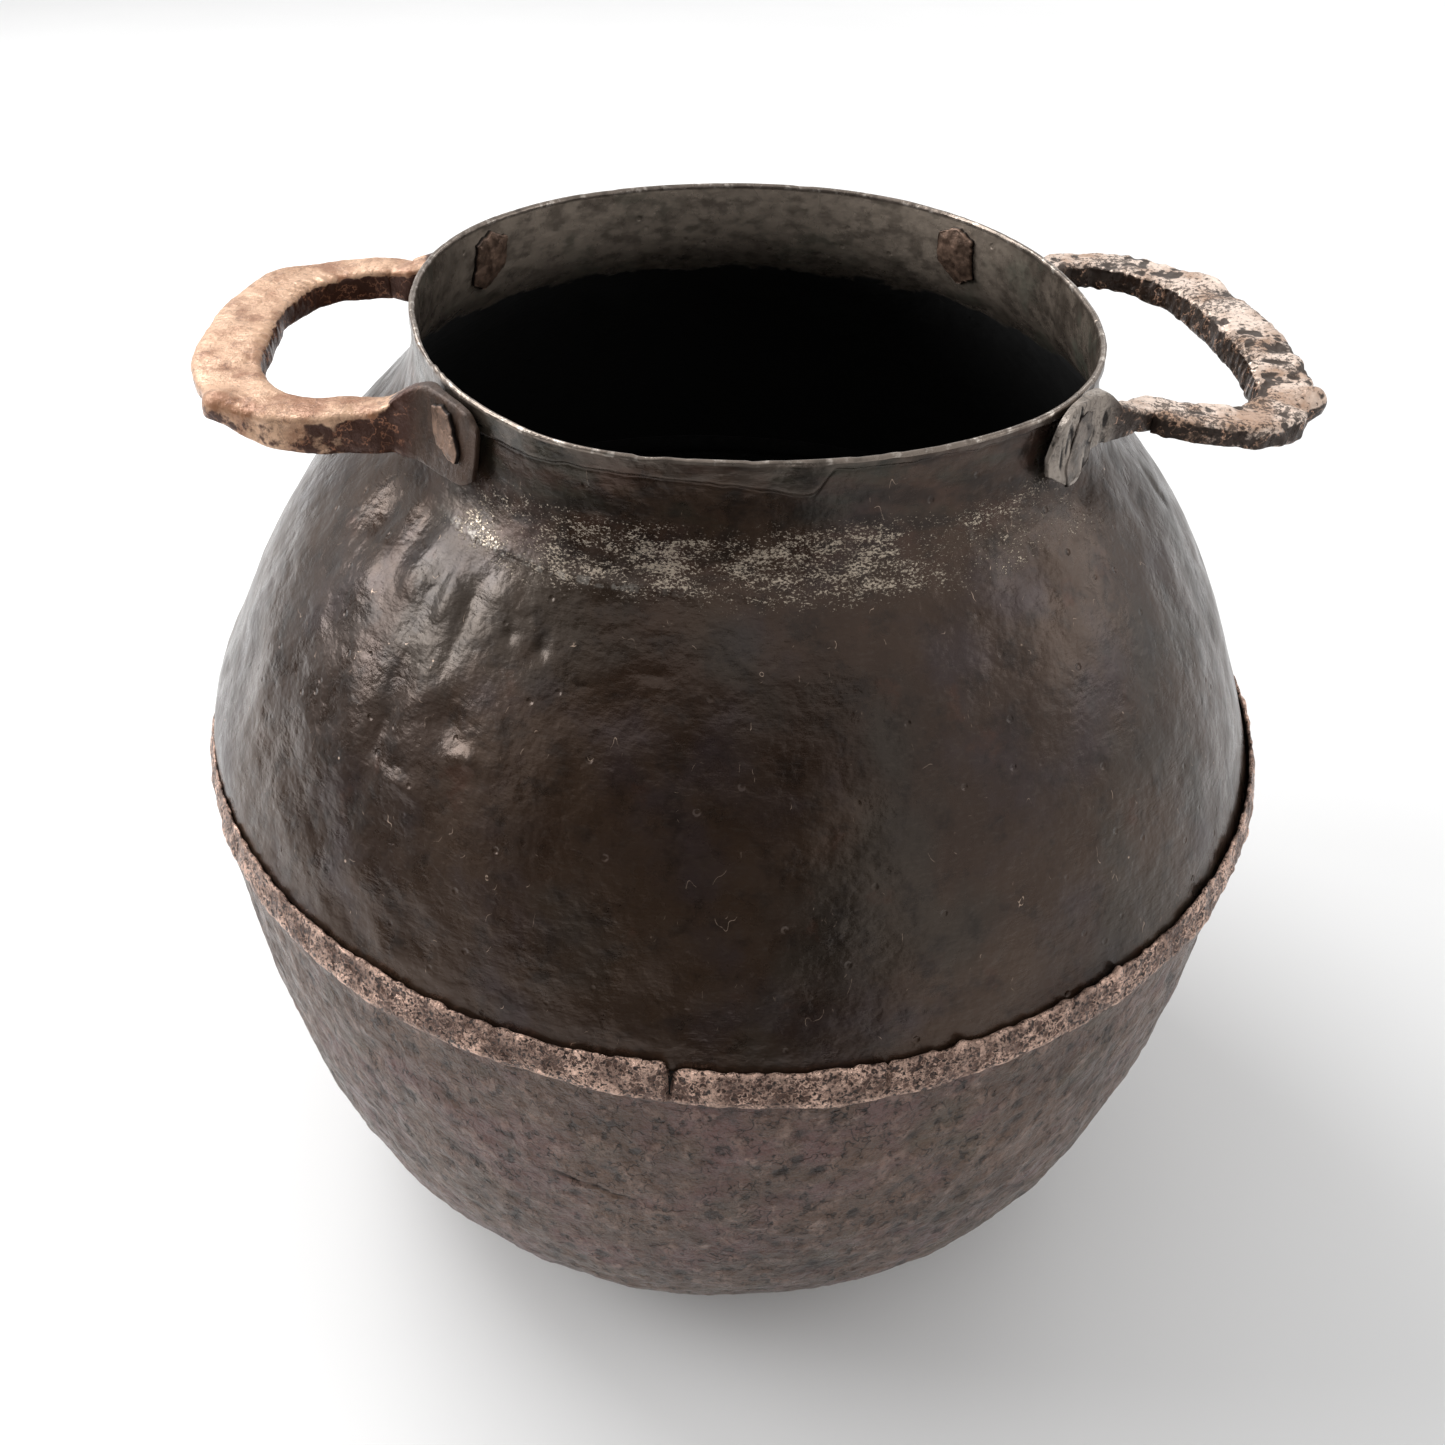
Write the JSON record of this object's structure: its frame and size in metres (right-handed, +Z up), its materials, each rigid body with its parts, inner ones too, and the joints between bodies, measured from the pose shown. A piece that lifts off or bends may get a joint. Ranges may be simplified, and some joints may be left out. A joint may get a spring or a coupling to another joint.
{
  "type": "two-handled copper cooking pot",
  "caption": "Globular hammered copper pot with a short neck, folded belly seam and riveted loop handles, for cooking or carrying liquids.",
  "frame": {"origin": "centre of the base, at the lowest point of the pot, on its vertical axis", "axes": "+Z up along the pot's axis through the mouth, +X and -X out along the two handles"},
  "size_m": [0.3854, 0.3854, 0.36],
  "materials": {
    "patinated_copper": "dark brown patina, satin",
    "rough_copper": "dark pitted patina with coppery rubbed edges",
    "worn_copper": "bare worn copper, satin, dark in the recesses",
    "rivet_copper": "dull brown copper",
    "solder": "dull grey tin solder"
  },
  "bodies": {
    "root": {"upper_shell": "patinated_copper", "lower_bowl": "rough_copper", "seam_solder": "solder", "left_handle": "worn_copper", "right_handle": "worn_copper", "rivet_left_front": "rivet_copper", "rivet_left_back": "rivet_copper", "rivet_right_front": "rivet_copper", "rivet_right_back": "rivet_copper"}
  },
  "joints": []
}
